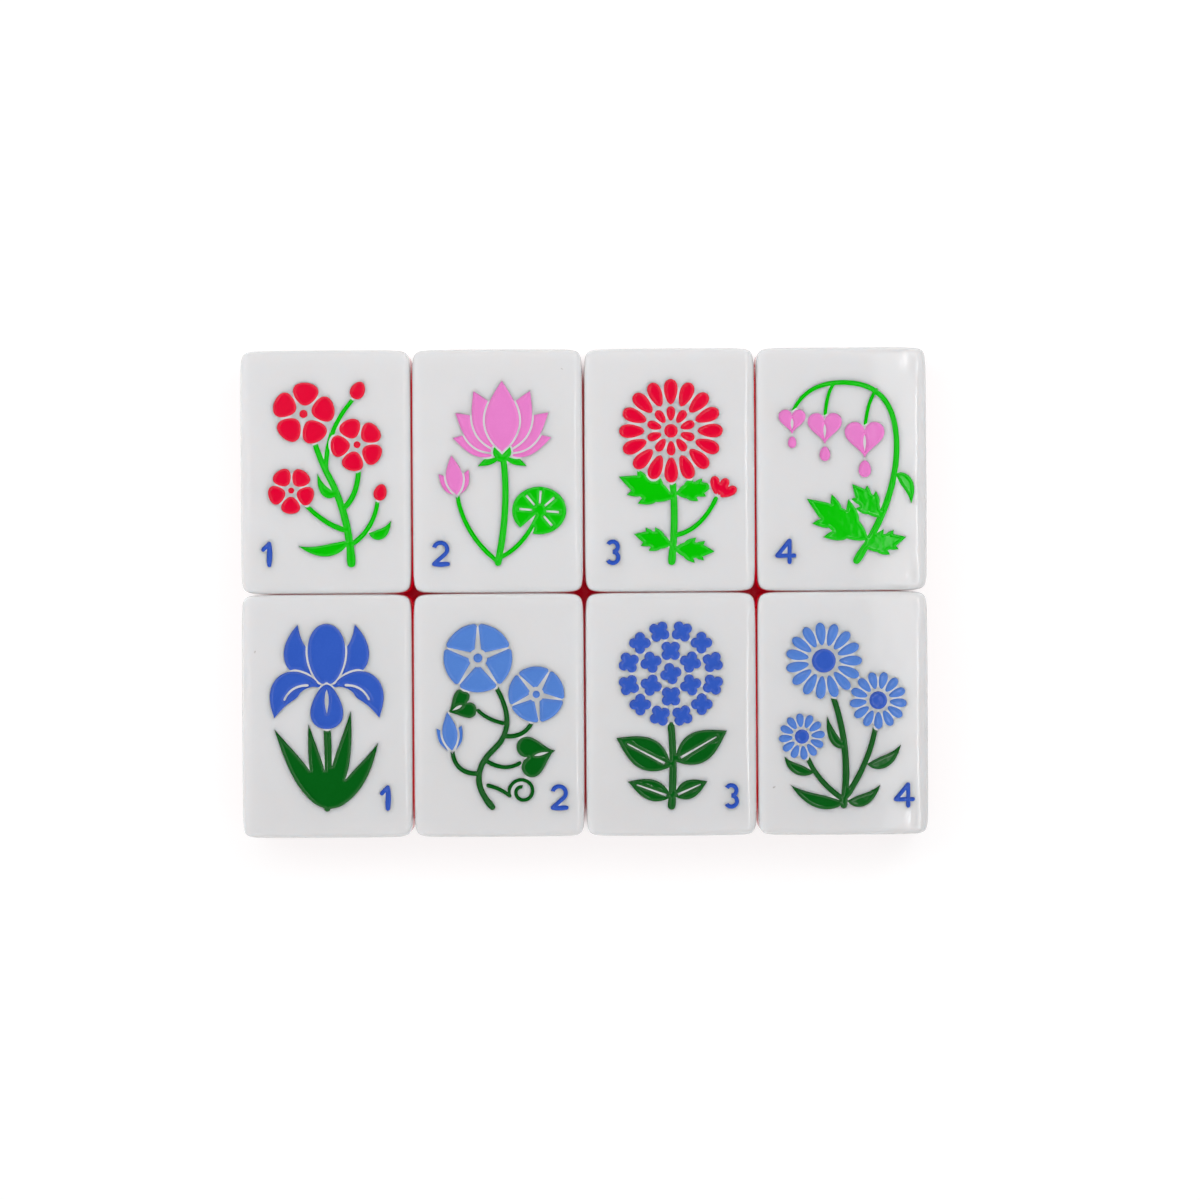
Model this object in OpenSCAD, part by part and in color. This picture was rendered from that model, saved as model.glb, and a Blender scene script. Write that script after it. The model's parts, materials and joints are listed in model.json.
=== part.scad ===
// Eight flower and season tiles of a mahjong set, laid face up in two rows of four.
// Each tile is a white front slab bonded to a red back slab. A flower and a plain
// numeral are cut into the front, and the cuts are filled with coloured enamel.
// +X runs along a row of four, +Y towards the top of the designs, +Z out of the faces.

/* [Tile] */
// Width of one tile
tile_w = 21.4; // [18:0.1:30]
// Length of one tile, along its design
tile_l = 30.6; // [26:0.1:42]
// Thickness of one tile, front and back slab together
tile_t = 14; // [11:0.1:22]
// Thickness of the white front slab
face_t = 4.5; // [3:0.1:10]
// Radius of the four upright corners
corner_r = 1.4; // [1.3:0.05:3]
// Radius of the rounding round the front and round the back
edge_r = 1.2; // [0.6:0.05:1.25]

/* [Layout] */
// Space between neighbouring tiles of a row
column_gap = 0.2; // [0.15:0.05:5]
// Space between the two rows
row_gap = 0.06; // [0.06:0.02:5]

/* [Engraving] */
// Depth of the cuts in the front
cut_depth = 0.5; // [0.4:0.05:0.8]
// Thickness of the enamel on the floor of the cuts
enamel_t = 0.35; // [0.1:0.05:0.38]
// Radius of the engraving cutter, which leaves nothing narrower than itself
cutter_r = 0.1; // [0.05:0.01:0.15]
// Width of the white ridge left between two colours
ridge_w = 0.25; // [0.2:0.05:0.4]
// Height of the numerals
numeral_h = 3.2; // [2.4:0.1:3.6]
// Width of the pen stroke of the numerals
numeral_pen = 0.52; // [0.4:0.02:0.6]
// Width of the main stems
stem_w = 0.62; // [0.5:0.02:0.9]

/* [Hidden] */
// Names of the eight tiles, upper row first
TILES = ["flower_1", "flower_2", "flower_3", "flower_4",
         "season_1", "season_2", "season_3", "season_4"];
// Pieces that every tile has
PIECES = ["face", "back", "bloom", "foliage", "numeral"];
// Tiles in one row
per_row = 4;
// Tile whose flowers have centre discs of another colour
centred = 7;
// Pitch of the layout
pitch_x = tile_w + column_gap;
pitch_y = tile_l + row_gap;
// The designs grow and shrink with the tile
art = min(tile_w / 21.4, tile_l / 30.6);
// Height at which the front slab is bonded to the back slab
bond_z = tile_t - face_t;
// Height of the floor of the cuts
floor_z = tile_t - cut_depth;
// Facets of the upright corners and of the discs in the designs
$fn = 48;

// Colours of the slabs and of the enamels
white = [0.93, 0.93, 0.93];
back_red = [0.72, 0.03, 0.12];
bloom_colour = [[0.89, 0.03, 0.20], [0.90, 0.49, 0.78], [0.89, 0.03, 0.20], [0.90, 0.49, 0.78],
                [0.18, 0.34, 0.73], [0.36, 0.52, 0.81], [0.18, 0.34, 0.73], [0.36, 0.52, 0.81]];
bright_green = [0.08, 0.74, 0.06];
dark_green = [0.07, 0.36, 0.13];
numeral_blue = [0.22, 0.34, 0.74];

// Place of a tile in the layout
module in_place(i) {
    translate([(i % per_row - (per_row - 1) / 2) * pitch_x, (0.5 - floor(i / per_row)) * pitch_y, 0])
        children();
}

// Slab shapes

// Outline of a slab, drawn in by d from the full width all round
module slab_outline(d) {
    x = tile_w / 2 - corner_r;
    y = tile_l / 2 - corner_r;
    square([2 * x, 2 * (y + corner_r - d)], center = true);
    for (sx = [-1, 1])
        translate([sx * (x + (corner_r - d) / 2), 0])
            square([corner_r - d, 2 * y], center = true);
    for (sx = [-1, 1], sy = [-1, 1])
        translate([sx * x, sy * y])
            circle(corner_r - d);
}

// Quarter disc that rounds an edge
module edge_profile() {
    intersection() {
        circle(edge_r);
        square(edge_r);
    }
}

// Slab of thickness t with a rounded upper edge
module slab(t) {
    x = tile_w / 2 - corner_r;
    y = tile_l / 2 - corner_r;
    linear_extrude(t - edge_r) slab_outline(0);
    translate([0, 0, t - edge_r]) {
        linear_extrude(edge_r) slab_outline(edge_r);
        for (a = [0, 180]) rotate(a) {
            translate([tile_w / 2 - edge_r, y, 0]) rotate([90, 0, 0]) linear_extrude(2 * y) edge_profile();
            translate([-x, tile_l / 2 - edge_r, 0]) rotate([90, 0, 90]) linear_extrude(2 * x) edge_profile();
        }
        for (q = [0:3])
            translate([x * [1, -1, -1, 1][q], y * [1, 1, -1, -1][q], 0])
                rotate(90 * q)
                    rotate_extrude(angle = 90) translate([corner_r - edge_r, 0]) edge_profile();
    }
}

// Shapes that the designs are drawn with

// Point and direction along a curve given by its two ends and one pull point
function point_at(p, t) = p[0] * (1 - t) * (1 - t) + 2 * p[1] * t * (1 - t) + p[2] * t * t;
function run_at(p, t) = let (d = (p[1] - p[0]) * (1 - t) + (p[2] - p[1]) * t) d / norm(d);
function left_of(d) = [-d[1], d[0]];

// Move and turn a shape
module at(x, y, turn = 0) {
    translate([x, y]) rotate(turn) children();
}

// Stem along a curve, w0 wide at its start and w1 at its round end
module stem(p, w0 = stem_w, w1 = stem_w) {
    n = 7;
    polygon(concat(
        [for (i = [0:n]) point_at(p, i / n) + left_of(run_at(p, i / n)) * (w0 + (w1 - w0) * i / n) / 2],
        [for (a = [45, 0, -45])
            point_at(p, 1) + (run_at(p, 1) * cos(a) + left_of(run_at(p, 1)) * sin(a)) * w1 / 2],
        [for (i = [n:-1:0]) point_at(p, i / n) - left_of(run_at(p, i / n)) * (w0 + (w1 - w0) * i / n) / 2],
        [for (a = [-135, 180, 135])
            point_at(p, 0) + (run_at(p, 0) * cos(a) + left_of(run_at(p, 0)) * sin(a)) * w0 / 2]));
}

// Leaf along a curve, w wide in its middle and pointed at both ends
module leaf(p, w, belly = 0.8) {
    n = 8;
    polygon(concat(
        [for (i = [0:n]) point_at(p, i / n) + left_of(run_at(p, i / n)) * w / 2 * sin(180 * pow(i / n, belly))],
        [for (i = [n - 1:-1:1]) point_at(p, i / n) - left_of(run_at(p, i / n)) * w / 2 * sin(180 * pow(i / n, belly))]));
}

// Rounded petal from the origin along +X, broader towards its far end
module petal(len, wid, lean = 0.3, n = 14) {
    polygon([for (i = [0:n - 1])
        [len / 2 * (1 - cos(360 * i / n)), wid / 2 * sin(360 * i / n) * (1 - lean * cos(360 * i / n))]]);
}

// Pointed petal from the origin along +X
module pointed_petal(len, wid) {
    leaf([[0, 0], [len / 2, 0], [len, 0]], wid, 0.85);
}

// Heart of a given width with its point down
module heart(wid) {
    n = 20;
    polygon([for (i = [0:n - 1]) let (a = 360 * (i + 0.5) / n)
        [16 * pow(sin(a), 3), 13 * cos(a) - 5 * cos(2 * a) - 2 * cos(3 * a) - cos(4 * a)] * wid / 32]);
}

// Ring of n copies round the origin
module ring(n, r, turn = 0) {
    for (k = [0:n - 1]) rotate(turn + 360 * k / n) translate([r, 0]) children();
}

// What the round cutter can cut of a shape
module cut_round() {
    offset(delta = cutter_r) offset(delta = -cutter_r) children();
}

// First shape, kept a ridge away from the second
module clear_of() {
    difference() {
        children(0);
        offset(delta = ridge_w) children(1);
    }
}

// Flower 1, a plum branch with three open blossoms and two buds

plum_blossoms = [[-2.7, 7.3, 3.9, 12], [4.0, 3.4, 3.3, 40], [-4.3, -2.3, 2.9, -20]];

module plum_bloom() {
    for (b = plum_blossoms) at(b[0], b[1], b[3]) {
        ring(5, 0.27 * b[2]) petal(0.74 * b[2], 0.79 * b[2], 0.3);
        circle(0.13 * b[2], $fn = 10);
    }
    at(3.6, 9.2, 62) petal(2.3, 1.8, -0.15);
    at(6.6, -3.6, 74) petal(2.1, 1.6, -0.15);
}

module plum_foliage() {
    stem([[3.2, -11.5], [3.0, -5.5], [0.4, -0.5]], 1.0, 0.8);
    stem([[0.4, -0.5], [-0.9, 2.0], [-1.7, 5.0]], 0.8, 0.6);
    stem([[0.1, 0.1], [-0.1, 5.0], [3.6, 9.2]], 0.6, 0.5);
    stem([[2.2, -4.6], [4.2, -3.0], [4.2, 1.0]], 0.7, 0.6);
    stem([[2.9, -7.4], [0.0, -6.9], [-3.2, -3.4]], 0.7, 0.5);
    stem([[3.1, -9.2], [6.1, -7.4], [6.6, -3.4]], 0.65, 0.5);
    leaf([[3.0, -8.6], [0.2, -10.8], [-3.4, -9.3]], 1.5);
    leaf([[1.5, -2.7], [-0.3, -3.4], [-1.0, -0.2]], 1.2);
    leaf([[5.4, -7.7], [7.2, -8.6], [8.2, -6.2]], 1.3);
}

// Flower 2, a lotus with a bud and a round floating leaf

lotus_fan = [[0, 8.9, 4.3], [25, 8.4, 3.9], [-25, 8.4, 3.9], [50, 7.6, 3.5], [-50, 7.6, 3.5],
             [74, 6.4, 2.8], [-74, 6.4, 2.8]];

// Round foot of a fan and its petals first to k - 1
module fan_front(fan, k, foot) {
    circle(foot, $fn = 16);
    for (j = [0:k - 1]) rotate(90 + fan[j][0]) pointed_petal(fan[j][1], fan[j][2]);
}

// Fan of petals, each one behind those before it in the list
module petal_fan(fan, foot = 0.3) {
    rotate(90 + fan[0][0]) pointed_petal(fan[0][1], fan[0][2]);
    for (k = [1:len(fan) - 1])
        clear_of() {
            rotate(90 + fan[k][0]) pointed_petal(fan[k][1], fan[k][2]);
            fan_front(fan, k, foot);
        }
}

lotus_bud = [[0, 5.0, 2.1], [33, 3.5, 1.5], [-33, 3.5, 1.5]];

module lotus_bloom() {
    at(0.6, 2.4) petal_fan(lotus_fan, 1.15);
    at(-5.1, -3.0, 8) petal_fan(lotus_bud);
}

module lotus_foliage() {
    stem([[0.6, 2.6], [1.6, -4.0], [0.0, -11.5]], 0.75, 0.85);
    at(0.6, 2.3) circle(1.2, $fn = 18);
    stem([[-5.1, -2.7], [-4.5, -7.6], [-0.2, -11.3]], 0.5, 0.6);
    at(5.2, -5.0) difference() {
        scale([1, 0.88]) circle(3.4, $fn = 26);
        for (a = [-5, 40, 85, 130, 175, 310])
            rotate(a) polygon([[0.9, -0.12], [2.5, -0.14], [2.5, 0.14], [0.9, 0.12]]);
        rotate(238) polygon([[0.3, 0], [5, -1.5], [5, 1.5]]);
    }
    stem([[5.2, -5.2], [3.4, -9.4], [0.4, -10.8]], 0.55, 0.55);
    at(0.6, 2.1) for (a = [206, 334]) rotate(a) pointed_petal(3.4, 1.1);
}

// Flower 3, a round chrysanthemum

module chrysanthemum_bloom() {
    at(0.2, 4.9) {
        ring(16, 3.3) petal(3.2, 1.66, 0.3, 12);
        ring(10, 1.25, 18) petal(1.85, 1.06, 0.25, 10);
        circle(0.85, $fn = 14);
    }
    at(5.9, -3.6, 62) for (a = [-34, 0, 34]) rotate(a) translate([0.5, 0]) petal(2.3, 1.15, 0.3);
}

// Leaf with pointed lobes, along +X
module lobed_leaf(len, wid) {
    pointed_petal(len, wid);
    for (s = [-1, 1]) {
        translate([0.22 * len, 0]) rotate(44 * s) pointed_petal(0.44 * len, 0.50 * wid);
        translate([0.46 * len, 0]) rotate(38 * s) pointed_petal(0.38 * len, 0.44 * wid);
    }
}

module chrysanthemum_foliage() {
    stem([[0.2, 0.0], [0.9, -5.0], [0.2, -11.5]], 0.8, 0.9);
    stem([[0.7, -8.2], [3.9, -7.6], [5.8, -3.6]], 0.6, 0.5);
    at(0.5, -3.6, 158) lobed_leaf(7.4, 2.9);
    at(0.7, -3.0, 12) lobed_leaf(4.9, 2.1);
    at(0.3, -9.4, 164) lobed_leaf(5.0, 2.1);
    at(0.4, -9.9, -4) lobed_leaf(5.2, 2.1);
}

// Flower 4, bleeding hearts that hang from an arched stem

hanging_hearts = [[2.9, 4.0, 5.0], [-2.1, 5.4, 4.3], [-6.2, 6.2, 3.4]];

module hearts_bloom() {
    for (h = hanging_hearts) at(h[0], h[1]) {
        difference() {
            heart(h[2]);
            translate([0, 0.06 * h[2]]) rotate(270) pointed_petal(0.42 * h[2], 0.34);
        }
        translate([0, -0.53 * h[2] - 0.3]) rotate(270) petal(0.42 * h[2], 0.30 * h[2], 0.2, 12);
    }
}

module hearts_foliage() {
    stem([[1.8, -11.5], [6.8, -4.2], [6.9, 2.6]], 0.9, 0.7);
    stem([[6.9, 2.6], [7.0, 10.4], [1.0, 10.8]], 0.7, 0.6);
    stem([[1.0, 10.8], [-4.4, 11.2], [-6.2, 7.0]], 0.6, 0.42);
    stem([[4.4, 9.9], [3.2, 8.4], [2.9, 4.6]], 0.42, 0.42);
    stem([[-1.0, 10.6], [-1.9, 9.4], [-2.1, 6.0]], 0.42, 0.42);
    at(3.4, -9.0, 146) lobed_leaf(9.4, 3.2);
    at(4.9, -6.2, 130) lobed_leaf(5.6, 2.3);
    at(2.8, -9.9, 14) lobed_leaf(5.4, 2.2);
    leaf([[6.7, -0.6], [8.8, -1.4], [8.7, -4.4]], 1.5);
}

// Season 1, an iris between sword leaves

module iris_falls() {
    leaf([[0.2, 3.6], [5.6, 6.2], [6.6, -0.2]], 3.5, 1.25);
    leaf([[-0.2, 3.6], [-5.6, 6.2], [-6.6, -0.2]], 3.5, 1.25);
}

module iris_middle_fall() {
    at(0, 4.0, 270) petal(5.6, 3.9, 0.35);
}

module iris_middle_standard() {
    at(0, 3.9, 90) petal(7.7, 4.7, 0.12);
}

module iris_side_standards() {
    leaf([[0.3, 4.3], [5.2, 6.4], [3.6, 11.5]], 3.3, 0.95);
    leaf([[-0.3, 4.3], [-5.2, 6.4], [-3.6, 11.5]], 3.3, 0.95);
}

module iris_bloom() {
    difference() {
        iris_middle_fall();
        at(0, 3.4, 270) pointed_petal(3.1, 0.5);
    }
    clear_of() {
        iris_middle_standard();
        iris_middle_fall();
    }
    clear_of() {
        difference() {
            iris_falls();
            for (s = [-1, 1]) stem([[2.4 * s, 3.9], [4.5 * s, 3.9], [5.3 * s, 2.1]], 0.3, 0.24);
        }
        union() {
            iris_middle_fall();
            iris_middle_standard();
        }
    }
    clear_of() {
        iris_side_standards();
        union() {
            iris_middle_standard();
            iris_falls();
        }
    }
}

module iris_foliage() {
    stem([[0, -1.2], [0.3, -6.0], [0.0, -11.5]], 0.9, 0.9);
    leaf([[-0.1, -11.7], [-3.6, -7.0], [-6.6, -1.6]], 2.3, 0.7);
    leaf([[0.0, -11.7], [-1.5, -6.5], [-2.3, -1.0]], 1.9, 0.7);
    leaf([[0.0, -11.7], [2.2, -5.6], [3.0, 0.6]], 2.1, 0.7);
    leaf([[0.1, -11.7], [4.2, -8.2], [6.4, -3.4]], 2.2, 0.7);
}

// Season 2, morning glories on a twining stem

glory_trumpets = [[-2.6, 7.2, 4.3, 90], [4.7, 2.6, 3.5, 60]];

module glory_bloom() {
    for (g = glory_trumpets) at(g[0], g[1], g[3]) {
        difference() {
            circle(g[2], $fn = 30);
            circle(0.27 * g[2], $fn = 15);
            ring(5, 0) polygon([[0, -0.12 * g[2]], [0.96 * g[2], -0.08], [0.96 * g[2], 0.08], [0, 0.12 * g[2]]]);
            ring(5, 1.05 * g[2], 0) rotate(45) square(0.2 * g[2], center = true);
        }
        circle(0.13 * g[2], $fn = 10);
    }
    at(-5.9, -4.4, 97) petal_fan([[-90, 4.9, 1.9], [-62, 3.4, 1.4], [-118, 3.4, 1.4]]);
}

module glory_foliage() {
    stem([[-0.9, -11.5], [-4.4, -7.6], [-0.6, -4.2]], 0.75, 0.7);
    stem([[-0.6, -4.2], [2.6, -1.3], [-0.6, 4.0]], 0.7, 0.55);
    stem([[0.6, -2.6], [3.6, -3.0], [4.5, 0.0]], 0.6, 0.5);
    stem([[-2.6, -7.3], [-5.6, -7.4], [-5.9, -4.3]], 0.6, 0.5);
    stem([[-1.8, -5.6], [0.6, -7.2], [2.6, -6.0]], 0.55, 0.45);
    stem([[0.6, -1.0], [-1.4, -0.6], [-2.6, 0.6]], 0.5, 0.45);
    at(4.4, -5.1, 104) vine_leaf(5.2);
    at(-4.6, 1.3, -62) vine_leaf(3.9);
    glory_tendril();
}

// Heart leaf with a bare midrib
module vine_leaf(wid) {
    difference() {
        heart(wid);
        rotate(270) pointed_petal(0.36 * wid, 0.34);
    }
}

// Curl that closes in on itself
module glory_tendril() {
    n = 16;
    function curl(i) = [2.9, -9.6] + (1.75 - 1.15 * i / n) * [cos(200 - 470 * i / n), sin(200 - 470 * i / n)];
    function span(i) = let (d = curl(i + 1) - curl(i - 1)) d / norm(d);
    polygon(concat([for (i = [0:n]) curl(i) + left_of(span(i)) * 0.22],
                   [for (i = [n:-1:0]) curl(i) - left_of(span(i)) * 0.22]));
    stem([[-1.4, -8.8], [0.2, -9.2], [1.3, -10.1]], 0.5, 0.46);
}

// Season 3, a hydrangea head of four-petalled florets

// Distance of the rim of a round lobe from the floret's centre, a away from the lobe's middle
function lobe_rim(a) = 0.53 * cos(a) + sqrt(0.47 * 0.47 - pow(0.53 * sin(a), 2));

// Floret of four round lobes that reaches r from its centre
module floret(r) {
    n = 24;
    polygon([for (i = [0:n - 1]) let (a = 360 * i / n)
        r * lobe_rim((a + 45) % 90 - 45) * [cos(a), sin(a)]]);
}

module hydrangea_bloom() {
    at(0, 5.1) {
        rotate(15) floret(1.36);
        ring(6, 2.86, 30) rotate(45) floret(1.36);
        ring(12, 5.45, 15) rotate(45) floret(1.36);
    }
}

// Broad leaf with a bare midrib, along +X
module broad_leaf(len, wid) {
    difference() {
        pointed_petal(len, wid);
        polygon([[0.12 * len, -0.14], [0.80 * len, -0.07], [0.80 * len, 0.07], [0.12 * len, 0.14]]);
    }
}

module hydrangea_foliage() {
    stem([[0, -1.4], [0.4, -6.0], [0.0, -11.5]], 0.85, 0.95);
    at(0.0, -6.6, 152) broad_leaf(7.8, 4.0);
    at(0.4, -5.9, 30) broad_leaf(7.6, 3.9);
    at(0.0, -10.4, 160) broad_leaf(5.8, 2.6);
    at(0.3, -10.3, 24) broad_leaf(4.6, 2.3);
}

// Season 4, three daisies with blue centre discs

daisies = [[-2.4, 6.6, 4.8, 15], [4.4, 1.6, 3.6, 13], [-5.2, -2.9, 2.9, 12]];

module daisy_bloom() {
    for (d = daisies) at(d[0], d[1], 8 * d[3])
        ring(d[3], 0.40 * d[2]) petal(0.60 * d[2], 0.25 * d[2] * 15 / d[3], 0.3, 12);
}

module daisy_centre() {
    for (d = daisies) at(d[0], d[1]) circle(0.31 * d[2], $fn = 16);
}

module daisy_foliage() {
    stem([[-1.43, 2.59], [1.02, -4.28], [0.0, -11.5]], 0.68, 0.9);
    stem([[4.4, 1.6], [4.2, -5.0], [0.3, -10.4]], 0.6, 0.75);
    stem([[-5.2, -3.0], [-4.6, -7.6], [-0.1, -10.8]], 0.55, 0.7);
    leaf([[0.2, -4.4], [-1.6, -3.6], [-2.0, -0.4]], 1.2);
    leaf([[2.9, -6.4], [5.6, -6.8], [7.2, -4.0]], 1.5);
    leaf([[0.2, -11.2], [-3.6, -11.8], [-6.6, -9.0]], 1.7);
    leaf([[-3.6, -7.4], [-6.4, -7.4], [-7.4, -5.4]], 1.3);
    leaf([[0.4, -11.0], [2.8, -11.6], [4.6, -9.0]], 1.5);
}

// Numerals, drawn with a round pen

module pen_line(a, b) {
    stem([a, (a + b) / 2, b], numeral_pen, numeral_pen);
}

module pen_arc(c, r, a0, a1) {
    n = 10;
    h = numeral_pen / 2;
    polygon(concat(
        [for (i = [0:n]) c + (r + h) * [cos(a0 + (a1 - a0) * i / n), sin(a0 + (a1 - a0) * i / n)]],
        [for (i = [n:-1:0]) c + (r - h) * [cos(a0 + (a1 - a0) * i / n), sin(a0 + (a1 - a0) * i / n)]]));
}

// Numeral of unit pen, standing on the middle of its foot
module figure(k) {
    h = numeral_h - numeral_pen;
    translate([0, numeral_pen / 2]) {
        if (k == 1) {
            pen_line([0.1, 0], [0.1, h]);
            pen_line([0.1, h], [-0.65, h - 0.75]);
        }
        if (k == 2) {
            pen_arc([0, 0.69 * h], 0.31 * h, 165, -42);
            pen_line([0.31 * h * cos(42), h * (0.69 - 0.31 * sin(42))], [-0.31 * h, 0]);
            pen_line([-0.31 * h, 0], [0.34 * h, 0]);
        }
        if (k == 3) {
            pen_arc([0, 0.76 * h], 0.24 * h, 150, -90);
            pen_arc([0, 0.26 * h], 0.26 * h, 90, -150);
        }
        if (k == 4) {
            pen_line([0.22 * h, 0], [0.22 * h, h]);
            pen_line([0.22 * h, h], [-0.36 * h, 0.30 * h]);
            pen_line([-0.36 * h, 0.30 * h], [0.44 * h, 0.30 * h]);
        }
    }
}

// Choice of the design of a tile

module bloom_shape(i) {
    if (i == 0) plum_bloom();
    if (i == 1) lotus_bloom();
    if (i == 2) chrysanthemum_bloom();
    if (i == 3) hearts_bloom();
    if (i == 4) iris_bloom();
    if (i == 5) glory_bloom();
    if (i == 6) hydrangea_bloom();
    if (i == 7) daisy_bloom();
}

module centre_shape(i) {
    if (i == centred) daisy_centre();
}

module foliage_shape(i) {
    if (i == 0) plum_foliage();
    if (i == 1) lotus_foliage();
    if (i == 2) chrysanthemum_foliage();
    if (i == 3) hearts_foliage();
    if (i == 4) iris_foliage();
    if (i == 5) glory_foliage();
    if (i == 6) hydrangea_foliage();
    if (i == 7) daisy_foliage();
}

// Cuts of the three colours, as the cutter leaves them

module bloom_cut(i) {
    scale(art) cut_round() bloom_shape(i);
}

module centre_cut(i) {
    scale(art) cut_round() centre_shape(i);
}

module foliage_cut(i) {
    scale(art) cut_round() clear_of() {
        foliage_shape(i);
        union() {
            bloom_shape(i);
            centre_shape(i);
        }
    }
}

module numeral_cut(i) {
    x = i < per_row ? -7.2 : 7.5;
    scale(art) cut_round() translate([x, -11.9]) figure(i % per_row + 1);
}

// Pieces of a tile

module tile_face(i) {
    color(white) in_place(i) difference() {
        translate([0, 0, bond_z]) slab(face_t);
        translate([0, 0, floor_z]) linear_extrude(cut_depth + 1) {
            bloom_cut(i);
            if (i == centred) centre_cut(i);
            foliage_cut(i);
            numeral_cut(i);
        }
    }
}

module tile_back(i) {
    color(back_red) in_place(i)
        translate([0, 0, bond_z]) mirror([0, 0, 1]) slab(bond_z);
}

module tile_bloom(i) {
    color(bloom_colour[i]) in_place(i) translate([0, 0, floor_z]) linear_extrude(enamel_t) bloom_cut(i);
}

module tile_foliage(i) {
    color(i < per_row ? bright_green : dark_green)
        in_place(i) translate([0, 0, floor_z]) linear_extrude(enamel_t) foliage_cut(i);
}

module tile_numeral(i) {
    color(numeral_blue) in_place(i) translate([0, 0, floor_z]) linear_extrude(enamel_t) numeral_cut(i);
}

module tile_centre(i) {
    color(numeral_blue) in_place(i) translate([0, 0, floor_z]) linear_extrude(enamel_t) centre_cut(i);
}

for (i = [0:len(TILES) - 1]) {
    tile_face(i);
    tile_back(i);
    tile_bloom(i);
    tile_foliage(i);
    tile_numeral(i);
}
tile_centre(centred);  // season_4_centre
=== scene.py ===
"""Eight mahjong flower and season tiles, laid face up in two rows of four."""

import json
import math

import bmesh
import bpy
from mathutils import Matrix, Vector
from mathutils.bvhtree import BVHTree
from mathutils.geometry import delaunay_2d_cdt

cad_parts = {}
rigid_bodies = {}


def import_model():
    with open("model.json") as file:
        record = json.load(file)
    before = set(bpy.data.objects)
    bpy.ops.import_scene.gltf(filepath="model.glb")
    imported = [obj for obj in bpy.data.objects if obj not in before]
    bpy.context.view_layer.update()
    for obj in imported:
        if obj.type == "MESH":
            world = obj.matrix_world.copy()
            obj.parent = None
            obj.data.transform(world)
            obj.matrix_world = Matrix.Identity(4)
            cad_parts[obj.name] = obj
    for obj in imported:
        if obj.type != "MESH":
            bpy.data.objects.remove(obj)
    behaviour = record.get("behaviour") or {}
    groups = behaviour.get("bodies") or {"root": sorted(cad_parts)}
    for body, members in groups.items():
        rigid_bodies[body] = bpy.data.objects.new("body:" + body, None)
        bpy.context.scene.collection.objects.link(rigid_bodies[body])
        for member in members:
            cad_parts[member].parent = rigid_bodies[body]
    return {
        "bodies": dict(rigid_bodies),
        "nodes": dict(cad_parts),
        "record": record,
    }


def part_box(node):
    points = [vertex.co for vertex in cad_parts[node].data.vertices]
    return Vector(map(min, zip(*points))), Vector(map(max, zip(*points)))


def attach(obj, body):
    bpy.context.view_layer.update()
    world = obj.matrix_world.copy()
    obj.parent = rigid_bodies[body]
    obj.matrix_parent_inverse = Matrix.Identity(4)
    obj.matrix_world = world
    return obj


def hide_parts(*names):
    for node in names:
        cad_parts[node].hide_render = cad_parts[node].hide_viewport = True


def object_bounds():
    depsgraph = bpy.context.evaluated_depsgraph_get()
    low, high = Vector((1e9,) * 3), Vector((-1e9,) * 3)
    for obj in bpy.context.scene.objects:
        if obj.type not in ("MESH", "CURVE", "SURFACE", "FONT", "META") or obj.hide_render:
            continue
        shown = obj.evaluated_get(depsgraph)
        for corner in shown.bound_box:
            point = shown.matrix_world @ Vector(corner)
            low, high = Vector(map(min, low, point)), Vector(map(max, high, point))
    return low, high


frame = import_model()
cad_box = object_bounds()
nodes = frame["nodes"]
tiles = list(frame["bodies"])
MM = 0.001

# Blank
# A tile is sawn from a white plastic sheet bonded on a red one. Tumbling with fine
# grit then softens all its edges, and its corners more than its edges.

SOFT_EDGE = 2.0 * MM
FLAT_FROM = 3.4 * MM
SIDE_EDGE = 1.2 * MM
SIDE_FLAT = 3.2 * MM
CORNER_WEAR = 0.22 * MM
CORNER_PULL = 0.20 * MM
BESIDE_PULL = 0.06 * MM
SMOOTHING = 3
SEAM_BEVEL = 0.05 * MM
FLAT_TURN = math.radians(0.02)
CRISP_PLASTIC = 40
SAME = 1e-7


def as_object(name, bm):
    """Finish a bmesh as an object at the origin."""
    mesh = bpy.data.meshes.new(name)
    bm.to_mesh(mesh)
    bm.free()
    piece = bpy.data.objects.new(name, mesh)
    bpy.context.scene.collection.objects.link(piece)
    return piece


def settle(piece):
    """Replace a piece's mesh by what its modifiers make of it."""
    view = bpy.context.evaluated_depsgraph_get()
    made = bpy.data.meshes.new_from_object(piece.evaluated_get(view))
    piece.modifiers.clear()
    piece.data = made
    return piece


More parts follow.
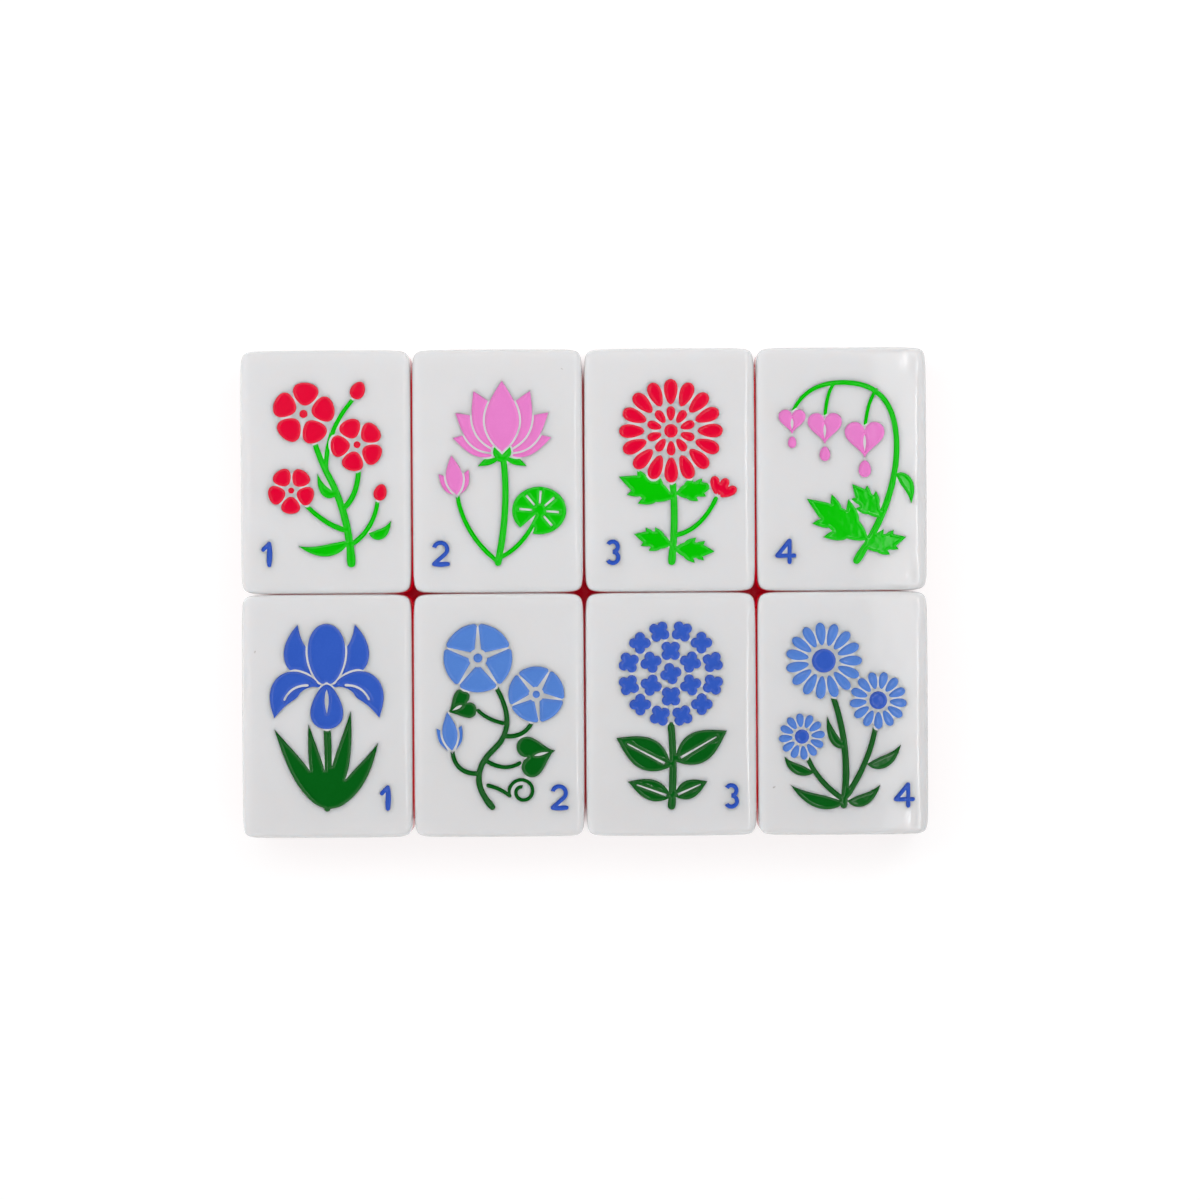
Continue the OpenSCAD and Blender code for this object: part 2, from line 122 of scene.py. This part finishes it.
def tumbled_blank(low, high):
    """Block between two corners, with every edge rounded as tumbling leaves it."""
    bm = bmesh.new()
    size = high - low
    centre = (low + high) / 2
    bmesh.ops.create_cube(bm, size=1, matrix=Matrix.Translation(centre) @ Matrix.Diagonal((*size, 1)))
    for axis in range(3):
        along = Vector([1.0 if k == axis else 0.0 for k in range(3)])
        for inset in ((SIDE_EDGE, SIDE_FLAT) if axis == 2 else (SOFT_EDGE, FLAT_FROM)):
            for place in (low[axis] + inset, high[axis] - inset):
                bmesh.ops.bisect_plane(bm, geom=bm.verts[:] + bm.edges[:] + bm.faces[:],
                                       dist=SAME, plane_co=along * place, plane_no=along)
    for vert in bm.verts:
        inset = [min(vert.co[k] - low[k], high[k] - vert.co[k]) for k in range(3)]
        outside = [i < SAME for i in inset]
        beside = [abs(i - SOFT_EDGE) < SAME for i in inset]
        move = Vector((0, 0, 0))
        if outside[2] and beside[0] and beside[1]:
            move.z = CORNER_WEAR
        for axis, other in ((0, 1), (1, 0)):
            if outside[axis] and outside[other]:
                move[axis] = CORNER_PULL
            elif outside[axis] and beside[other]:
                move[axis] = BESIDE_PULL
        for axis in range(3):
            vert.co[axis] += math.copysign(move[axis], centre[axis] - vert.co[axis])
    blank = as_object("blank", bm)
    rounding = blank.modifiers.new("tumbling", "SUBSURF")
    rounding.levels = SMOOTHING
    rounding.render_levels = SMOOTHING
    return settle(blank)


def slab_of(blank, bond_z, upper):
    """Upper or lower layer of the blank, closed at the bond, with a hair of a bevel there."""
    bm = bmesh.new()
    bm.from_mesh(blank.data)
    cut = bmesh.ops.bisect_plane(bm, geom=bm.verts[:] + bm.edges[:] + bm.faces[:], dist=SAME,
                                 plane_co=(0, 0, bond_z), plane_no=(0, 0, 1),
                                 clear_inner=upper, clear_outer=not upper)
    seam = [e for e in cut["geom_cut"] if isinstance(e, bmesh.types.BMEdge)]
    bmesh.ops.edgeloop_fill(bm, edges=seam)
    bmesh.ops.recalc_face_normals(bm, faces=bm.faces)
    bmesh.ops.dissolve_limit(bm, angle_limit=FLAT_TURN, verts=bm.verts, edges=bm.edges)
    seam = [e for e in bm.edges if all(abs(v.co.z - bond_z) < SAME for v in e.verts)]
    bmesh.ops.bevel(bm, geom=seam, offset=SEAM_BEVEL, segments=2, profile=0.5,
                    affect="EDGES", material=-1)
    return bm


def shade(piece, sharp_from):
    """Smooth shading, with the edges sharper than an angle kept crisp."""
    piece.data.shade_smooth()
    piece.data.set_sharp_from_angle(angle=math.radians(sharp_from))


first_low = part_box(tiles[0] + "_back")[0]
bond_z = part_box(tiles[0] + "_back")[1].z
first_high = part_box(tiles[0] + "_face")[1]
blank = tumbled_blank(first_low, first_high)
place_of = {t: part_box(t + "_back")[0] - first_low for t in tiles}


# Red backs
# The back layer is solid red plastic, polished all over. A painted glow, an emission that
# fades downward from the bond and toward the layout's outer sides, stands in for light that
# the milky fronts pass on, so it glows between the tiles. Its flat back shows when a tile is turned
# over.

class Value:
    """A shader socket that takes part in plain arithmetic."""

    def __init__(self, tree, socket):
        self.tree = tree
        self.socket = socket

    def node(self, kind, settings=None, **inputs):
        """Node of a kind, its settings made first. Inputs go by name, or by place as i0, i1 and on."""
        made = self.tree.nodes.new(kind)
        for key, setting in (settings or {}).items():
            setattr(made, key, setting)
        for key, value in inputs.items():
            key = int(key[1:]) if key[0] == "i" and key[1:].isdigit() else key.replace("_", " ")
            if isinstance(value, Value):
                self.tree.links.new(value.socket, made.inputs[key])
            else:
                made.inputs[key].default_value = value
        return made

    def out(self, kind, settings=None, output=0, **inputs):
        """One output of such a node."""
        return Value(self.tree, self.node(kind, settings, **inputs).outputs[output])

    def math(self, operation, other=0.0, swap=False):
        pair = (other, self) if swap else (self, other)
        return self.out("ShaderNodeMath", {"operation": operation}, i0=pair[0], i1=pair[1])

    def __add__(self, other):
        return self.math("ADD", other)

    __radd__ = __add__

    def __sub__(self, other):
        return self.math("SUBTRACT", other)

    def __rsub__(self, other):
        return self.math("SUBTRACT", other, swap=True)

    def __mul__(self, other):
        return self.math("MULTIPLY", other)

    def above(self, level, soft):
        """0 below a level, 1 from soft above it."""
        return self.out("ShaderNodeMapRange", {"interpolation_type": "SMOOTHSTEP"},
                        Value=self, From_Min=level, From_Max=level + soft)

    def mix(self, low, high):
        """Colour between two colours, by this value."""
        return self.out("ShaderNodeMix", {"data_type": "RGBA"}, output=2, i0=self, i6=low, i7=high)


def linear(red, green, blue):
    """Colour of an sRGB triple from 0 to 255, as the shader takes it."""
    def lift(c):
        c = c / 255
        return c / 12.92 if c <= 0.04045 else ((c + 0.055) / 1.055) ** 2.4
    return (lift(red), lift(green), lift(blue), 1.0)


def finish(name):
    """New material with a Principled shader, and its Object coordinates."""
    material = bpy.data.materials.new(name)
    material.use_nodes = True
    tree = material.node_tree
    shader = tree.nodes["Principled BSDF"]
    here = Value(tree, None).out("ShaderNodeTexCoord", output=3)
    return material, shader, here


def noise(here, size, detail=2.0):
    """Noise with features of about a size."""
    return here.out("ShaderNodeTexNoise", Vector=here, Scale=1 / size, Detail=detail)


def feed(shader, socket, value):
    """Link a value to a shader's socket."""
    value.tree.links.new(value.socket, shader.inputs[socket])


FEW_MARKS = 0.66
MARK_SOFT = 0.05


def rub_marks(here):
    """Fine rub marks in two directions, as bright hairlines on a dark field."""
    lines = []
    for turn, per_metre in ((0.5, (60, 1400, 60)), (-0.9, (1400, 80, 80))):
        drawn_out = here.out("ShaderNodeMapping", Vector=here, Rotation=(0, 0, turn), Scale=per_metre)
        lines.append(noise(drawn_out, 1).above(FEW_MARKS, MARK_SOFT))
    return lines[0] + lines[1]


def bump(shader, height, strength, distance):
    """Raise a shader's surface by a height from 0 to 1."""
    raised = height.out("ShaderNodeBump", Height=height, Strength=strength, Distance=distance)
    feed(shader, "Normal", raised)


RED_DEEP = linear(172, 3, 20)
RED_LIGHT = linear(186, 6, 27)
PAINTED_GLOW = linear(134, 0, 13)
PAINTED_GLOW_DEPTH = 20 * MM
PAINTED_GLOW_FADE = 5 * MM
PAINTED_GLOW_OUTER_SHARE = 0.3
RED_CLOUD = 6.25 * MM
RED_RIPPLE = 2.381 * MM
RED_GLOSS = 0.14
RED_CLOUD_DULL = 0.06
RED_MARK_DULL = 0.10
RED_MARK_RISE = 0.15

red_plastic, shader, here = finish("red plastic")
cloud = noise(here, RED_CLOUD, 3.0)
feed(shader, "Base Color", cloud.mix(RED_DEEP, RED_LIGHT))
marks = rub_marks(here)
feed(shader, "Roughness", RED_GLOSS + cloud * RED_CLOUD_DULL + marks * RED_MARK_DULL)
bump(shader, noise(here, RED_RIPPLE) + marks * RED_MARK_RISE, strength=0.06, distance=0.02 * MM)
place = here.node("ShaderNodeSeparateXYZ", Vector=here)
along_x, along_y, height = [Value(red_plastic.node_tree, s) for s in place.outputs]
# Painted glow: emission brightest at the bond, fading out below it, and weaker toward the layout's outer
# sides.
painted_glow_share = height.above(bond_z - PAINTED_GLOW_DEPTH, PAINTED_GLOW_DEPTH)
painted_glow_outer_x = along_x.math("ABSOLUTE").above(cad_box[1].x - PAINTED_GLOW_FADE, PAINTED_GLOW_FADE)
painted_glow_outer_y = along_y.math("ABSOLUTE").above(cad_box[1].y - PAINTED_GLOW_FADE, PAINTED_GLOW_FADE)
painted_glow_share = painted_glow_share * (1 - painted_glow_outer_x.math("MAXIMUM", painted_glow_outer_y) * (1 - PAINTED_GLOW_OUTER_SHARE))
feed(shader, "Emission Color", painted_glow_share.mix((0, 0, 0, 1), PAINTED_GLOW))
shader.inputs["Emission Strength"].default_value = 1.0
shader.inputs["IOR"].default_value = 1.49
shader.inputs["Specular IOR Level"].default_value = 0.35

for tile in tiles:
    bm = slab_of(blank, bond_z, upper=False)
    bmesh.ops.translate(bm, vec=place_of[tile], verts=bm.verts)
    back = as_object(tile + ".back", bm)
    back.data.materials.append(red_plastic)
    shade(back, CRISP_PLASTIC)
    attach(back, tile)
    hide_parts(tile + "_back")


# White fronts
# The front layer is milky white plastic that lets a little light in, so the paint in
# the cuts shades it softly. A round cutter engraves the design before it is painted.

CUT_FLOOR = 0.5 * MM
CORNER_TURN = 38
FACET_TURN = 62
FACET_STEP = 0.75 * MM
ALIKE = 0.6
EASE_STEPS = 5
CUTTER_RISE = 1.0 * MM
MERGE = 0.012 * MM
THIN = 0.3 * MM
WIDE = 0.7 * MM
LIT_RIDGE_SHARE = 0.75
WELD = 0.02 * MM
LID_DEPTH = 0.01 * MM
FACES_UP = 0.9
FACES_SIDEWAYS = 0.1


def rims(name):
    """Closed rows of points round the cuts of one colour, read from its CAD enamel."""
    bm = bmesh.new()
    bm.from_mesh(nodes[name].data)
    bmesh.ops.remove_doubles(bm, verts=bm.verts, dist=WELD)
    top = max(v.co.z for v in bm.verts)
    lid = {f for f in bm.faces if f.normal.z > FACES_UP and f.calc_center_median().z > top - LID_DEPTH}
    edges = [e for e in bm.edges if sum(f in lid for f in e.link_faces) == 1]
    after = {}
    for edge in edges:
        face = next(f for f in edge.link_faces if f in lid)
        loop = next(c for c in face.loops if c.edge == edge)
        after[loop.vert] = loop.link_loop_next.vert
    rows = []
    while after:
        start, vert = after.popitem()
        row = [start.co.xy]
        while vert != start:
            row.append(vert.co.xy)
            vert = after.pop(vert)
        rows.append(row)
    bm.free()
    return rows


def eased(row):
    """The same row with its round stretches as smooth curves and its real corners kept."""
    count = len(row)
    ahead = [row[(k + 1) % count] - row[k] for k in range(count)]
    turn = [ahead[k - 1].angle_signed(ahead[k]) for k in range(count)]
    corner = []
    for k in range(count):
        beside = (turn[k - 1], turn[(k + 1) % count])
        alike = any(t * turn[k] > 0 and abs(t) > ALIKE * abs(turn[k]) for t in beside)
        short, long = sorted((ahead[k - 1].length, ahead[k].length))
        facets = long < FACET_STEP or (alike and long < 2 * short)
        corner.append(abs(turn[k]) > math.radians(FACET_TURN if facets else CORNER_TURN))

    def run(k, away):
        """Direction in which the curve leaves or reaches point k."""
        if corner[k]:
            return ahead[k] if away else ahead[k - 1]
        before, after = ahead[k - 1].normalized(), ahead[k].normalized()
        return (before + after).normalized() * (ahead[k] if away else ahead[k - 1]).length

    points = []
    for k in range(count):
        p0, p1 = row[k], row[(k + 1) % count]
        d0, d1 = run(k, True), run((k + 1) % count, False)
        for step in range(EASE_STEPS):
            t = step / EASE_STEPS
            points.append(p0 * (2 * t ** 3 - 3 * t ** 2 + 1) + d0 * (t ** 3 - 2 * t ** 2 + t)
                          + p1 * (3 * t ** 2 - 2 * t ** 3) + d1 * (t ** 3 - t ** 2))
    return points


def filled(rows, z):
    """Flat sheet inside the rows, with its islands left open."""
    bm = bmesh.new()
    for row in rows:
        ring = [bm.verts.new((p.x, p.y, z)) for p in row]
        for k, vert in enumerate(ring):
            bm.edges.new((ring[k - 1], vert))
    bmesh.ops.triangle_fill(bm, use_beauty=True, use_dissolve=False, edges=bm.edges)
    for face in bm.faces:
        if face.normal.z < 0:
            face.normal_flip()
    return bm


def stand_up(bm, drop):
    """Turn a flat sheet into a solid that reaches drop below it."""
    grown = bmesh.ops.extrude_face_region(bm, geom=bm.faces[:], use_keep_orig=True)["geom"]
    lower = [v for v in grown if isinstance(v, bmesh.types.BMVert)]
    bmesh.ops.translate(bm, vec=(0, 0, -drop), verts=lower)
    bmesh.ops.recalc_face_normals(bm, faces=bm.faces)


pieces_of = frame["record"]["behaviour"]["bodies"]
enamels = {t: [n for n in pieces_of[t] if not n.endswith(("_face", "_back"))] for t in tiles}
rim_rows = {n: [eased(row) for row in rims(n)] for t in tiles for n in enamels[t]}

MILK = linear(236, 236, 238)
MILK_WARM = linear(233, 232, 232)
SPECK = linear(150, 140, 132)
MILK_CLOUD = 11.11 * MM
MILK_WAVE = 3.846 * MM
LIGHT_PASS = 1.7 * MM
SPECK_APART = 4.348 * MM
SPECK_PATCH = 16.39 * MM
SPECK_GRAIN = 0.4 * MM
SPECK_RAGGED = 0.0006
SPECK_SIZE = 0.012
SPECK_SOFT = 0.03
SPECK_SHARE = 0.5
PATCH_FROM = 0.6
PATCH_SOFT = 0.05
MILK_GLOSS = 0.05
MILK_CLOUD_DULL = 0.04
MILK_MARK_DULL = 0.02

white_plastic, milky, here = finish("milky plastic")
# Lit copy: the same plastic without light passing into it, mixed in on thin ridges so they stay light,
# standing in for the light a thin ridge keeps.
lit_ridge_copy = here.node("ShaderNodeBsdfPrincipled")
tree = white_plastic.node_tree
narrow = here.out("ShaderNodeAttribute", {"attribute_name": "narrow"}, output=2)
blend = here.node("ShaderNodeMixShader", i0=narrow)
tree.links.new(milky.outputs[0], blend.inputs[1])
tree.links.new(lit_ridge_copy.outputs[0], blend.inputs[2])
tree.links.new(blend.outputs[0], tree.nodes["Material Output"].inputs["Surface"])
cloud = noise(here, MILK_CLOUD, 3.0)
grain = here.out("ShaderNodeTexNoise", output=1, Vector=here, Scale=1 / SPECK_GRAIN)
ragged = here.out("ShaderNodeMix", {"data_type": "VECTOR"}, output=1, i0=SPECK_RAGGED, i4=here, i5=grain)
specks = here.out("ShaderNodeTexVoronoi", {"feature": "F1"}, Vector=ragged, Scale=1 / SPECK_APART)
patches = noise(here, SPECK_PATCH, 0.0).above(PATCH_FROM, PATCH_SOFT)
speck = (1 - specks.above(SPECK_SIZE, SPECK_SOFT)) * patches
milk = (speck * SPECK_SHARE).mix(cloud.mix(MILK, MILK_WARM), SPECK)
gloss = MILK_GLOSS + cloud * MILK_CLOUD_DULL + rub_marks(here) * MILK_MARK_DULL
waves = noise(here, MILK_WAVE, 1.0)
for shader in (milky, lit_ridge_copy):
    feed(shader, "Base Color", milk)
    feed(shader, "Roughness", gloss)
    bump(shader, waves, strength=0.4, distance=0.10 * MM)
    shader.inputs["IOR"].default_value = 1.5
milky.inputs["Subsurface Weight"].default_value = 1.0
milky.inputs["Subsurface Radius"].default_value = (1.0, 0.92, 0.88)
milky.inputs["Subsurface Scale"].default_value = LIGHT_PASS


def note_ridges(front, rows, top_z):
    """Note at each rim how much of the lit copy the white takes there, more where the ridge is thinner,
    standing in for the light a thin ridge keeps.
    """
    fence = bmesh.new()
    for row in rows:
        ring = [fence.verts.new((p.x, p.y, top_z - CUTTER_RISE)) for p in row]
        for k, vert in enumerate(ring):
            fence.edges.new((ring[k - 1], vert))
    raised = bmesh.ops.extrude_edge_only(fence, edges=fence.edges)["geom"]
    bmesh.ops.translate(fence, vec=(0, 0, 2 * CUTTER_RISE),
                        verts=[v for v in raised if isinstance(v, bmesh.types.BMVert)])
    across = BVHTree.FromBMesh(fence)
    fence.free()
    bm = bmesh.new()
    bm.from_mesh(front.data)
    top = [f for f in bm.faces if f.normal.z > FACES_UP
           and f.calc_center_median().z > top_z - CUT_FLOOR / 2]
    bmesh.ops.triangulate(bm, faces=top, quad_method="BEAUTY", ngon_method="BEAUTY")
    mark = bm.verts.layers.float.new("narrow")
    for vert in bm.verts:
        walls = [f.normal for f in vert.link_faces if abs(f.normal.z) < FACES_SIDEWAYS]
        if walls and vert.co.z > top_z - CUT_FLOOR / 2:
            inward = -sum(walls, Vector()).normalized()
            width = across.ray_cast(vert.co + inward * MERGE, inward)[3]
            if width is not None:
                vert[mark] = LIT_RIDGE_SHARE * min(max((WIDE - width) / (WIDE - THIN), 0), 1)
    bm.to_mesh(front.data)
    bm.free()


for tile in tiles:
    bm = slab_of(blank, bond_z, upper=True)
    bmesh.ops.translate(bm, vec=place_of[tile], verts=bm.verts)
    front = as_object(tile + ".face", bm)
    face_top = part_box(tile + "_face")[1].z
    rows = [row for n in enamels[tile] for row in rim_rows[n]]
    sheet = filled(rows, face_top + CUTTER_RISE)
    stand_up(sheet, CUTTER_RISE + CUT_FLOOR)
    cutter = as_object("cutter", sheet)
    engraving = front.modifiers.new("engraving", "BOOLEAN")
    engraving.operation = "DIFFERENCE"
    engraving.solver = "EXACT"
    engraving.object = cutter
    settle(front)
    bpy.data.objects.remove(cutter)
    note_ridges(front, rows, face_top)
    front.data.materials.clear()
    front.data.materials.append(white_plastic)
    shade(front, CRISP_PLASTIC)
    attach(front, tile)
    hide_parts(tile + "_face")


# Enamels
# Each colour is run into its cuts and wiped off the face. It draws up the walls as it
# dries, so it is a glossy dish with a bright line along its walls.

RIM_DROP = 0.02 * MM
DISH_DEPTH = 0.26 * MM
WALL_WIDTH = 0.40 * MM
WALL_RINGS = 6
RING_GROWTH = 1.3
FLOOR_FROM = 1.15
NEARLY = 0.98
FAN_STEP = math.radians(24)
CRISP_ENAMEL = 50


def inward_runs(row, k):
    """Directions into the enamel at point k, spread like a fan where the rim turns away."""
    before = (row[k] - row[k - 1]).normalized()
    after = (row[(k + 1) % len(row)] - row[k]).normalized()
    turn = before.cross(after)
    spread = math.atan2(turn, before.dot(after))
    count = 1 + int(-spread / FAN_STEP) if turn < 0 else 1
    for j in range(count):
        along = Matrix.Rotation(spread * (j + 0.5) / count, 2) @ before
        yield Vector((-along.y, along.x))


def wall_points(rows, rim):
    """Points in rings along the inside of the rims, as far as the middle of narrow strokes."""
    points = []
    for row in rows:
        for k, point in enumerate(row):
            for inward in inward_runs(row, k):
                for ring in range(1, WALL_RINGS + 2):
                    share = (ring / WALL_RINGS) ** RING_GROWTH if ring <= WALL_RINGS else FLOOR_FROM
                    reach = WALL_WIDTH * share
                    clear = rim.find_nearest((*(point + inward * reach), 0))[3]
                    if clear < reach * NEARLY:
                        points.append(point + inward * (reach + clear) / 2)
                        break
                    points.append(point + inward * reach)
    return points


skin = BVHTree.FromObject(blank, bpy.context.evaluated_depsgraph_get())


def dished(name, tile):
    """Enamel of one colour, closed all round, its top hollowed between its rims."""
    rows = rim_rows[name]
    floor_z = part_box(tile + "_face")[1].z - CUT_FLOOR
    above = Vector((0, 0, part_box(tile + "_face")[1].z + CUTTER_RISE)) - place_of[tile]
    rim_points = []
    rings = []
    for row in rows:
        ring = [len(rim_points) + k for k in range(len(row))]
        area = sum(row[k - 1].cross(row[k]) for k in range(len(row)))
        rings.append(ring if area > 0 else ring[::-1])
        rim_points += row
    sides = [(ring[k - 1], ring[k], ring[k]) for ring in rings for k in range(len(ring))]
    rim = BVHTree.FromPolygons([(*p, 0) for p in rim_points], sides)
    inside_with_holes = 2
    points = rim_points + wall_points(rows, rim)
    places, _, faces, *_ = delaunay_2d_cdt(points, [], rings, inside_with_holes, MERGE)
    bm = bmesh.new()
    verts = {}
    for index in {i for face in faces for i in face}:
        share = min(rim.find_nearest((*places[index], 0))[3] / WALL_WIDTH, 1.0)
        drop = RIM_DROP + DISH_DEPTH * (1 - (1 - share) ** 2)
        face = skin.ray_cast(above + places[index].to_3d(), (0, 0, -1))[0]
        verts[index] = bm.verts.new((*places[index], face.z - drop))
    for face in faces:
        bm.faces.new([verts[i] for i in face])
    rim_edges = [e for e in bm.edges if e.is_boundary]
    walls = bmesh.ops.extrude_edge_only(bm, edges=rim_edges)["geom"]
    for vert in [v for v in walls if isinstance(v, bmesh.types.BMVert)]:
        vert.co.z = floor_z
    bmesh.ops.triangle_fill(bm, use_beauty=True, edges=[e for e in bm.edges if e.is_boundary])
    bmesh.ops.recalc_face_normals(bm, faces=bm.faces)
    return bm


PAINT_CLOUD = 2.0 * MM
PAINT_WAVE = 0.9091 * MM
PAINT_GRAIN = 0.1923 * MM
PAINT_GLOSS = 0.06
PAINT_CLOUD_DULL = 0.04


def enamel(name, colour, deeper):
    """Glossy paint that is a little uneven in tone and in its surface."""
    paint, shader, here = finish(name)
    cloud = noise(here, PAINT_CLOUD, 3.0)
    grain = noise(here, PAINT_GRAIN, 1.0)
    feed(shader, "Base Color", (cloud * 0.5 + grain * 0.5).mix(deeper, colour))
    feed(shader, "Roughness", PAINT_GLOSS + cloud * PAINT_CLOUD_DULL)
    bump(shader, noise(here, PAINT_WAVE, 1.0), strength=0.45, distance=0.03 * MM)
    shader.inputs["IOR"].default_value = 1.5
    shader.inputs["Coat Weight"].default_value = 0.25
    shader.inputs["Coat Roughness"].default_value = 0.06
    return paint


paints = {
    "enamel_red": enamel("red enamel", linear(246, 4, 60), linear(236, 2, 52)),
    "enamel_pink": enamel("pink enamel", linear(248, 142, 219), linear(238, 130, 208)),
    "enamel_green": enamel("bright green enamel", linear(12, 213, 4), linear(2, 203, 0)),
    "enamel_dark_green": enamel("dark green enamel", linear(14, 106, 32), linear(6, 94, 18)),
    "enamel_blue": enamel("blue enamel", linear(64, 106, 211), linear(50, 92, 197)),
    "enamel_light_blue": enamel("light blue enamel", linear(99, 148, 229), linear(85, 134, 217)),
}
slot_of = {s["node"]: s["material_slot"] for s in frame["record"]["subparts"]}

for tile in tiles:
    for name in enamels[tile]:
        paint = as_object(name.replace(tile + "_", tile + "."), dished(name, tile))
        paint.data.materials.append(paints[slot_of[name]])
        shade(paint, CRISP_ENAMEL)
        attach(paint, tile)
        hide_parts(name)
bpy.data.objects.remove(blank)


# Table, light and camera
# The tiles lie on a white table in a white cloth tent. The camera looks straight down
# through a dark hole in the tent, between long strip lamps, the brightest at the right.

FLOOR_SIDE = 3.0
PAINTED_SHADE_FADE = 4 * MM
TABLE_LIT = (0.8, 0.8, 0.8, 1)
TABLE_SEEN = (0.26, 0.26, 0.26, 1)
TABLE_GLOW = (0.84, 0.84, 0.84, 1)
TENT_TOP = 0.04
TENT_WALL = 1.3
TENT_EAST = 0.3
TENT_NORTH = 0.4
STRIP_HEIGHT = 0.36
STRIP_LONG = 0.30
HOLE_EDGE = math.cos(math.radians(30))
HOLE_SOFT = math.cos(math.radians(14)) - HOLE_EDGE
bm = bmesh.new()
bmesh.ops.create_grid(bm, x_segments=4, y_segments=4, size=FLOOR_SIDE / 2)
table = as_object("table", bm)
table_white, shader, here = finish("white table")
shader.inputs["Roughness"].default_value = 0.9
shader.inputs["Specular IOR Level"].default_value = 0.0
tree = table_white.node_tree
path = here.node("ShaderNodeLightPath")
rays = ("Is Camera Ray", "Is Glossy Ray", "Is Transmission Ray")
camera_ray, glossy_ray, transmission_ray = [Value(tree, path.outputs[ray]) for ray in rays]
seen = camera_ray.math("MAXIMUM", glossy_ray).math("MAXIMUM", transmission_ray)
place = here.node("ShaderNodeSeparateXYZ", Vector=here)
along_x, along_y, _ = [Value(tree, s) for s in place.outputs]
# Painted shadow: inside the tiles' footprint the table loses its glow and shows only its lit colour, so
# it is darker wherever the tiles stand, lifted or not.
clear_of_painted_shade_x = along_x.math("ABSOLUTE").above(cad_box[1].x - PAINTED_SHADE_FADE, PAINTED_SHADE_FADE)
clear_of_painted_shade_y = along_y.math("ABSOLUTE").above(cad_box[1].y - PAINTED_SHADE_FADE, PAINTED_SHADE_FADE)
glow_outside_painted_shade = seen * clear_of_painted_shade_x.math("MAXIMUM", clear_of_painted_shade_y)
feed(shader, "Base Color", glow_outside_painted_shade.mix(TABLE_LIT, TABLE_SEEN))
feed(shader, "Emission Color", glow_outside_painted_shade.mix((0, 0, 0, 1), TABLE_GLOW))
shader.inputs["Emission Strength"].default_value = 1.0
table.data.materials.append(table_white)

world = bpy.data.worlds.new("tent")
bpy.context.scene.world = world
world.use_nodes = True
tree = world.node_tree
background = tree.nodes["Background"]
background.inputs["Color"].default_value = (1, 1, 1, 1)
towards = Value(tree, None).out("ShaderNodeTexCoord", output=0)
sky = towards.node("ShaderNodeSeparateXYZ", Vector=towards)
east, north, up = [Value(tree, s) for s in sky.outputs]
low_down = 1 - up
cloth = TENT_TOP + low_down * low_down * (TENT_WALL - east * TENT_EAST - north * TENT_NORTH)
feed(background, "Strength", (1 - up.above(HOLE_EDGE, HOLE_SOFT)) * cloth)


def softbox(name, place, long, wide, watts, mirrored=True):
    """Area lamp that faces the middle of the layout, and may leave no mirror image of itself."""
    lamp = bpy.data.lights.new(name, "AREA")
    lamp.shape = "RECTANGLE"
    lamp.size = long
    lamp.size_y = wide
    lamp.energy = watts
    holder = bpy.data.objects.new(name, lamp)
    holder.location = place
    holder.rotation_euler = (-Vector(place)).to_track_quat("-Z", "Y").to_euler()
    holder.visible_glossy = mirrored
    holder.visible_camera = False
    bpy.context.scene.collection.objects.link(holder)


softbox("key", place=(-0.02, 0.07, 0.25), long=0.50, wide=0.10, watts=0.565, mirrored=False)
softbox("left strip", place=(-0.13, 0, STRIP_HEIGHT), long=STRIP_LONG, wide=0.02, watts=0.03)
softbox("right glow", place=(0.08, 0, STRIP_HEIGHT), long=STRIP_LONG, wide=0.04, watts=0.065)
softbox("right strip", place=(0.09, 0, STRIP_HEIGHT), long=STRIP_LONG, wide=0.012, watts=0.066)

PIXELS_PER_MM = 7.97
FRAME_PIXELS = 1200
SENSOR = 36
CAMERA_HEIGHT = 0.6
VIEW_X = 15.7 / PIXELS_PER_MM * MM
VIEW_Y = -7.5 / PIXELS_PER_MM * MM
ROLL = math.radians(0.35)

camera = bpy.data.objects.new("camera", bpy.data.cameras.new("camera"))
bpy.context.scene.collection.objects.link(camera)
camera.data.sensor_width = SENSOR
camera.data.lens = SENSOR * CAMERA_HEIGHT / (FRAME_PIXELS / PIXELS_PER_MM * MM)
camera.location = (VIEW_X, VIEW_Y, first_high.z + CAMERA_HEIGHT)
camera.rotation_euler = (0, 0, -ROLL)
bpy.context.scene.camera = camera
bpy.context.scene.view_settings.view_transform = "Standard"
